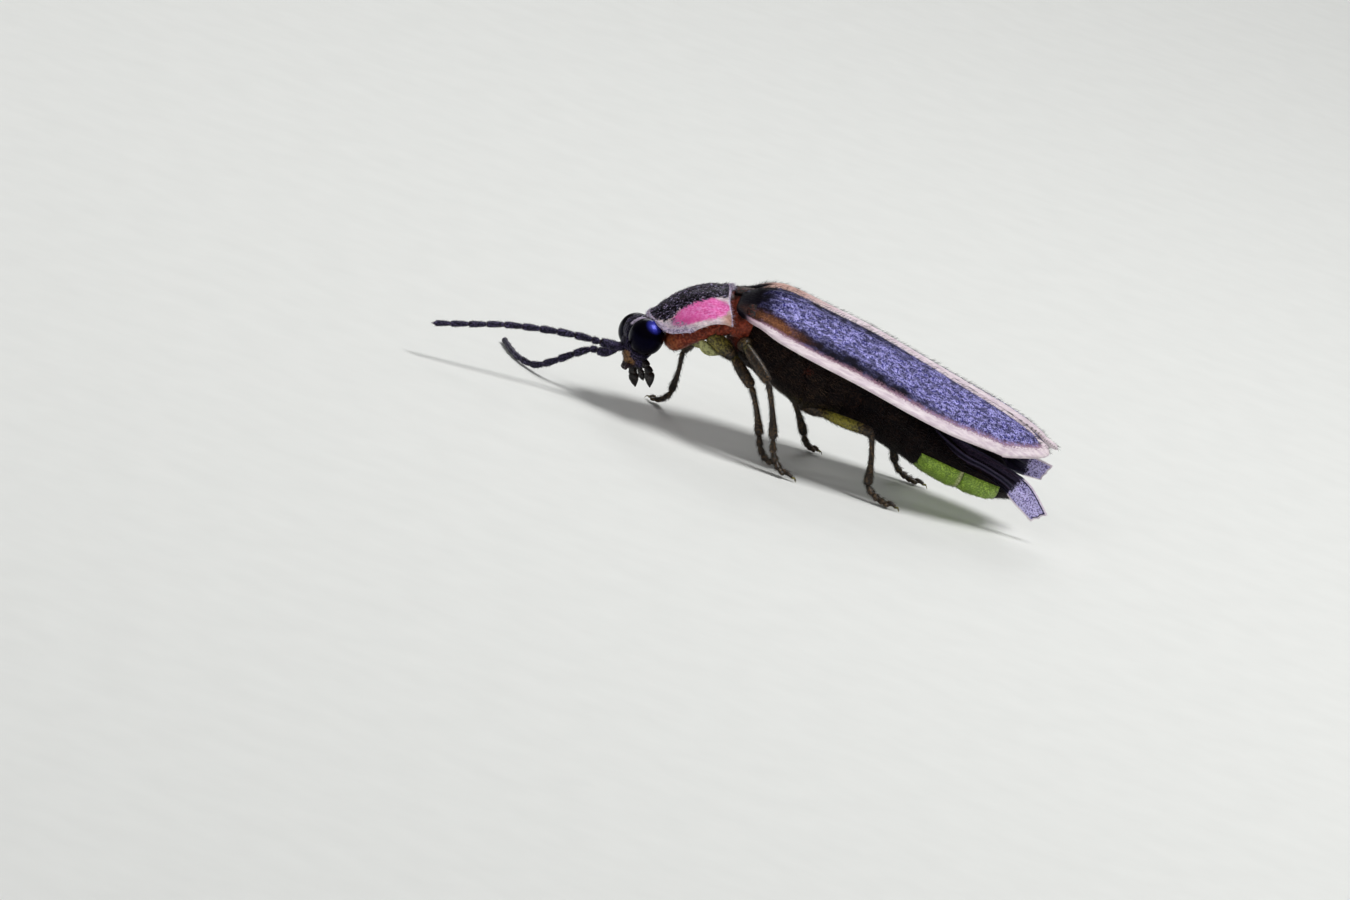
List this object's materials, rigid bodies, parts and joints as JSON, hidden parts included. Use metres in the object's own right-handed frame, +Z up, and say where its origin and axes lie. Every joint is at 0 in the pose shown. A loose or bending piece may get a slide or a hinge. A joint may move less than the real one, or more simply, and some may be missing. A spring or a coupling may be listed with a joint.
{
  "type": "firefly",
  "caption": "Life-size model of a male firefly standing on a flat floor, wing covers closed, hind wing tips showing, one feeler held forward and one lowered.",
  "frame": {"origin": "middle of the foot of the bounding box, on the floor that the feet stand on", "axes": "-X to the head and feelers, +X to the tail, -Y to the insect's left side, +Z up"},
  "size_m": [0.0198, 0.007, 0.0052],
  "materials": {
    "wing_cover": "blue-black horny cover with pale cream side and middle margins and a fine grain",
    "wing_membrane": "smoky membrane with a violet sheen and dark veins",
    "black_cuticle": "black cuticle with short dark hairs",
    "eye": "glossy black compound eye with fine facets",
    "mouthpart": "brown cuticle with black ends",
    "pronotum": "translucent pink and cream shield with a black middle band",
    "red_cuticle": "red-brown cuticle",
    "brown_cuticle": "dark brown cuticle with short hairs",
    "lantern": "waxy yellow-green light organ, unlit",
    "leg": "dark brown cuticle with short hairs"
  },
  "bodies": {
    "root": {"elytron_left": "wing_cover", "elytron_right": "wing_cover", "hindwing_left": "wing_membrane", "hindwing_right": "wing_membrane", "head": "black_cuticle", "eye_left": "eye", "eye_right": "eye", "palp_left": "mouthpart", "palp_right": "mouthpart", "antenna_left": "black_cuticle", "antenna_right": "black_cuticle", "pronotum": "pronotum", "prothorax": "red_cuticle", "scutellum": "red_cuticle", "thorax": "brown_cuticle", "abdomen": "brown_cuticle", "abdomen_tip": "brown_cuticle", "lantern_front": "lantern", "lantern_rear": "lantern", "leg_front_left": "leg", "leg_front_right": "leg", "leg_middle_left": "leg", "leg_middle_right": "leg", "leg_hind_left": "leg", "leg_hind_right": "leg"}
  },
  "joints": []
}
